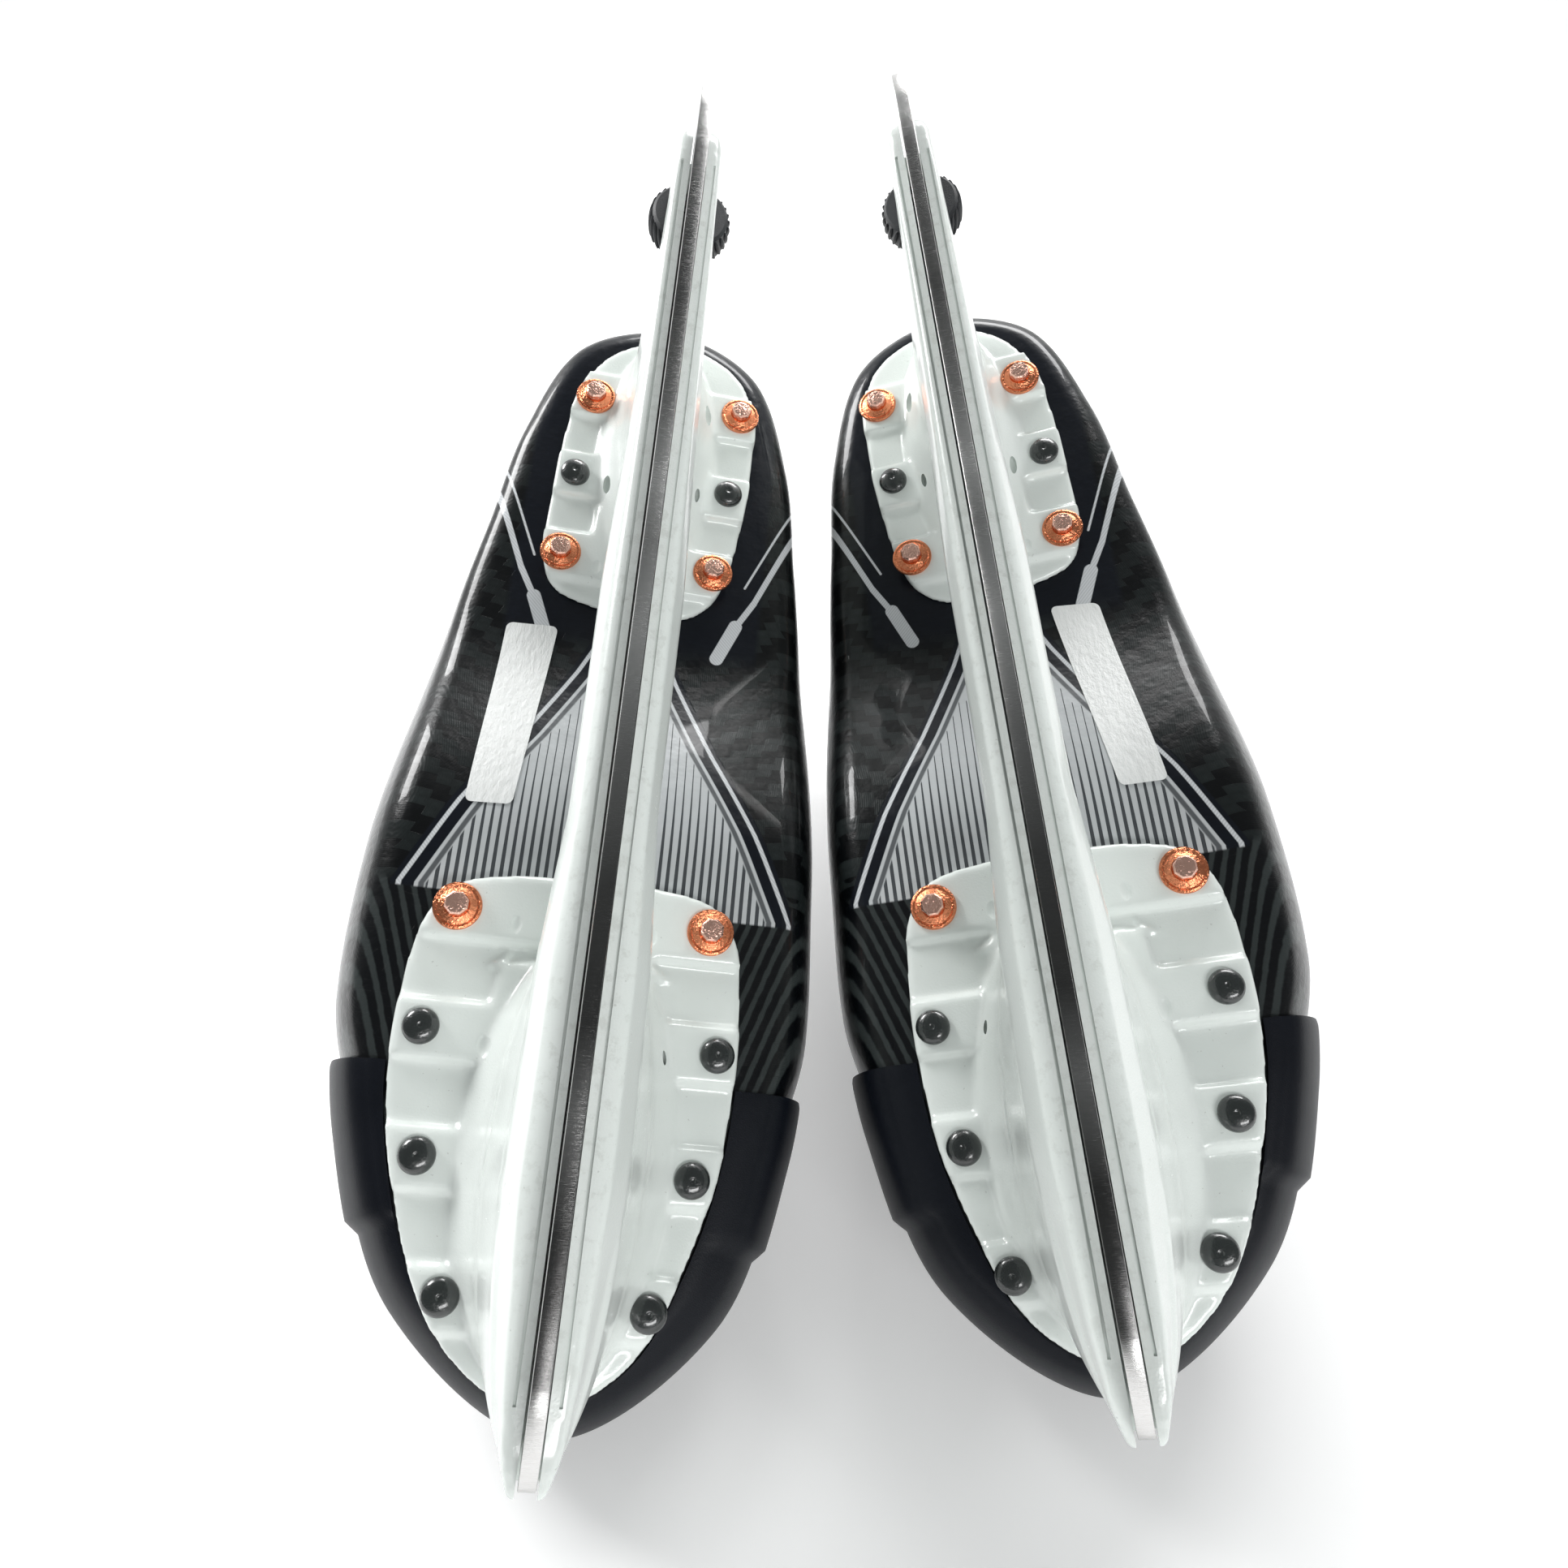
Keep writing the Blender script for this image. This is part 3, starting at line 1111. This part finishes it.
def shank():
    """The rivet's stem through flange and sole, with its burr inside the boot."""
    return lathe([(0.3, 0.2), (2.1, 0.2), (2.1, 7.2), (3.5, 7.25), (2.9, 7.7), (0.4, 8.1)], 20)


def copper_rivet():
    washer = lathe([
        (1.2, -1.3), (2.7, -1.45), (3.5, -1.0), (4.1, -0.72), (4.6, -0.85), (5.0, -0.7), (5.15, -0.3),
        (5.0, 0.3), (1.2, 0.3),
    ], 44)
    stub = lathe([
        (1.0, -0.6), (2.6, -0.9), (2.66, -2.2), (2.6, -3.35), (2.25, -3.72), (1.1, -3.86), (0.2, -3.82),
    ], 8)
    return cleaned("copper rivet", joined([washer, stub, shank()]))


def black_rivet():
    dome = lathe([
        (1.2, 0.3), (3.7, 0.3), (3.75, -0.25), (3.62, -0.7), (3.3, -1.15), (2.75, -1.52), (2.1, -1.78),
        (1.4, -1.93), (0.85, -1.99), (0.6, -1.96), (0.45, -1.84), (0.1, -1.8),
    ], 36)
    return cleaned("black rivet", joined([dome, shank()]))


def rivet_row(name, places, part, material, seed):
    points = [(x, y, (FRONT_LOW if y > 0 else HEEL_LOW) - 0.3) for x, y in places]
    return in_rows(name, points, (0, 0, 1), (0, 1, 0), part, material, 6.28, seed)


def lock_wheel():
    """A ring with slanting ribs round its edge; its bore is closed face by face in place of the flat caps."""
    steps, ribs_round = 64, 30
    profile = [(2.95, -3.5), (8.6, -3.5), (9.3, -2.9), (9.3, 2.9), (8.6, 3.5), (2.95, 3.5)]
    verts, faces = lathe(profile, steps)
    faces = [f for f in faces if len(f) == 4]
    last = (len(profile) - 1) * steps
    faces += [(last + i, last + (i + 1) % steps, (i + 1) % steps, i) for i in range(steps)]
    wheel = cleaned("wheel", (verts + np.array(WHEEL_CENTRE), faces))
    angle = np.arange(ribs_round) / ribs_round * 2 * math.pi
    out = np.c_[np.cos(angle), np.sin(angle), np.zeros(ribs_round)]
    points = out * 9.35 + np.array(WHEEL_CENTRE)
    slant = np.c_[-np.sin(angle) * 0.45, np.cos(angle) * 0.45, np.ones(ribs_round)]
    rib = made_of("rib", ellipsoid((0, 0, 0), (0.62, 3.3, 0.75)))
    ribs = in_rows("ribs", points, out, slant, rib, MOULDING)
    return boolean(wheel, ribs, "UNION")


def onto(surface, places):
    """Finds where vertical lines meet a shape from above, and the way it faces there."""
    work = bmesh.new()
    work.from_mesh(surface.data)
    tree = BVHTree.FromBMesh(work)
    hits = [tree.ray_cast(Vector((x, y, 400)), Vector((0, 0, -1))) for x, y in places]
    work.free()
    found = [(h[0], h[1]) for h in hits if h[0] is not None]
    return np.array([p for p, _ in found]), np.array([q for _, q in found])


def stay_edge(y):
    """How far from the middle the throat's edge of a lace stay runs."""
    return np.interp(y, (-46, 76), (27, 13.5))


def eyelets(stay, side):
    ys = np.linspace(60, -60, 9)
    points, out = onto(stay, [(side * (stay_edge(y) + 7.5), y) for y in ys])
    ring = made_of("ring", lathe([
        (2.0, -0.6), (2.1, 0.35), (2.6, 0.7), (3.3, 0.55), (3.7, 0.1), (3.7, -0.6),
    ], 28))
    return in_rows("eyelets", points, out, (0, 1, 0), tidy_normals(ring), LACQUER)


def stitches(stay, side):
    places = []
    for offset in (2.6, 13.4):
        places += [(side * (stay_edge(y) + offset), y) for y in np.arange(66, -62, -2.9)]
    points, out = onto(stay, places)
    thread = made_of("thread", ellipsoid((0, 0, 0.1), (0.32, 1.15, 0.28)))
    return in_rows("stitches", points, out, (0, 1, -0.4), thread, KNIT)


# ---------------------------------------------------------------- all pieces on both skates
on_both(boot_shell(), "boot", ["boot_shell"], LAMINATE, crease=50)
on_both(toe_cap(), "toe_bumper", ["toe_cap"], NAVY, crease=50)
for piece in on_both(boot_liner(), "padded_lining", ["boot_liner"], KNIT, crease=80):
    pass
on_both(footbed(), "insole", ["footbed"], SYNTHETIC)
for piece in on_both(tongue(), "felt_tongue", ["tongue"], FELT, moving=True, crease=70):
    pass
on_both(tendon_guard(), "ankle_guard", ["tendon_guard"], MOULDING, moving=True, crease=60)
on_both(blade_holder(), "holder", ["blade_holder"], WHITE, crease=42)
on_both(runner(), "steel_runner", ["runner"], STEEL, moving=True, crease=30)
on_both(lock_bolt(), "threaded_bolt", ["lock_bolt"], STEEL, moving=True, crease=30)
on_both(lock_wheel(), "knurled_wheel", ["lock_wheel"], MOULDING, moving=True)
on_both(rivet_row("coppers", COPPER, copper_rivet(), COPPER_FINISH, 4), "copper_rivets",
        [f"copper_rivet_{i}" for i in range(1, 7)], COPPER_FINISH, crease=28)
on_both(rivet_row("blacks", BLACK, black_rivet(), LACQUER, 9), "black_rivets",
        [f"black_rivet_{i}" for i in range(1, 9)], LACQUER)
for side, hand in ((1, "lateral"), (-1, "medial")):
    stay = eyestay(side)
    eyes, thread = eyelets(stay, side), stitches(stay, side)
    on_both(stay, "lace_stay_" + hand, ["eyestay_" + hand], SYNTHETIC, crease=60)
    on_both(eyes, "eyelets_" + hand, [], LACQUER)
    on_both(thread, "stitching_" + hand, [], KNIT)


def label(corners):
    """A thin blank label lying on the sole between four corners."""
    a, b, c, d = (np.array(p, float) for p in corners)
    columns, rows = 12, 40
    along = 0.5 - 0.5 * np.cos(np.linspace(0, math.pi, rows + 1))
    u, v = np.meshgrid(np.linspace(0, 1, columns + 1), along)
    u, v = u.ravel()[:, None], v.ravel()[:, None]
    near_end = np.clip(1.6 - 53 * np.minimum(v, 1 - v), 0, 1.6)
    u = 0.5 + (u - 0.5) * (1 - (1.6 - np.sqrt(1.6**2 - near_end**2)) / 6)
    flat = (a * (1 - u) + b * u) * (1 - v) + (d * (1 - u) + c * u) * v
    z = sole_at(flat[:, 1])
    below = np.c_[flat, z - 0.24]
    above = np.c_[flat, z - 0.08]
    sheet = len(flat)
    faces = []
    for j in range(rows):
        for i in range(columns):
            quad = tuple((j + dj) * (columns + 1) + i + di for di, dj in ((0, 0), (1, 0), (1, 1), (0, 1)))
            faces += [quad[::-1], tuple(k + sheet for k in quad)]
    rim = [(i, 0) for i in range(columns)] + [(columns, j) for j in range(rows)]
    rim += [(i, rows) for i in range(columns, 0, -1)] + [(0, j) for j in range(rows, 0, -1)]
    rim = [j * (columns + 1) + i for i, j in rim]
    for k, m in zip(rim, rim[1:] + rim[:1]):
        faces.append((k, m, m + sheet, k + sheet))
    return cleaned("label", (np.vstack([below, above]), faces))


for side, corners in (
    ("right", [(14.1, -32.6), (26, -31.1), (31, 23.1), (20.4, 22.7)]),
    ("left", [(18.7, -32.8), (31.3, -32.1), (32.2, 20.5), (21.9, 19.9)]),
):
    blank = label(corners)
    lay(blank, "size_label", side, ROOT, [], PAPER)
    bpy.data.objects.remove(blank)

# ---------------------------------------------------------------- floor, light and colour
FLOOR_FINISH = new_material(
    "pale studio floor", Roughness=0.9, Base_Color=grey(0.88), Emission_Color=grey(1), Emission_Strength=0.3
).material
bend = [(0.9 + 0.5 * math.sin(a), 0.5 - 0.5 * math.cos(a)) for a in np.linspace(0.1, 1.57, 16)]
sweep = [(y, z - 0.0006) for y, z in [(-9, 0), (0.9, 0), *bend, (1.4, 3)]]
floor = new_object("floor", [(x, y, z) for x in (-9, 9) for y, z in sweep],
                   [(i, i + len(sweep), i + len(sweep) + 1, i + 1) for i in range(len(sweep) - 1)])
floor.data.materials.append(FLOOR_FINISH)

world = bpy.data.worlds.new("studio")
SCENE.world = world
world.use_nodes = True
world.node_tree.nodes["Background"].inputs[0].default_value = (0.9, 0.95, 0.95, 1)
world.node_tree.nodes["Background"].inputs[1].default_value = 0.24


def soft_light(name, place, aim, size, power):
    light = bpy.data.lights.new(name, "AREA")
    light.shape, light.size, light.size_y = "RECTANGLE", size[0], size[1]
    light.energy = power
    made = bpy.data.objects.new(name, light)
    SCENE.collection.objects.link(made)
    made.location = place
    made.rotation_euler = (Vector(aim) - Vector(place)).to_track_quat("-Z", "Y").to_euler()


soft_light("window light", (-0.9, 0.45, 0.95), (0, 0.0, 0.1), (0.5, 0.4), 15)
soft_light("ceiling light", (0.35, 0.8, 1.15), (0, 0.0, 0.1), (0.9, 0.3), 13)
soft_light("front fill", (0.45, -1.3, 0.5), (0, 0, 0.1), (0.7, 0.25), 7)

SCENE.view_settings.view_transform = "Standard"
SCENE.view_settings.look = "None"
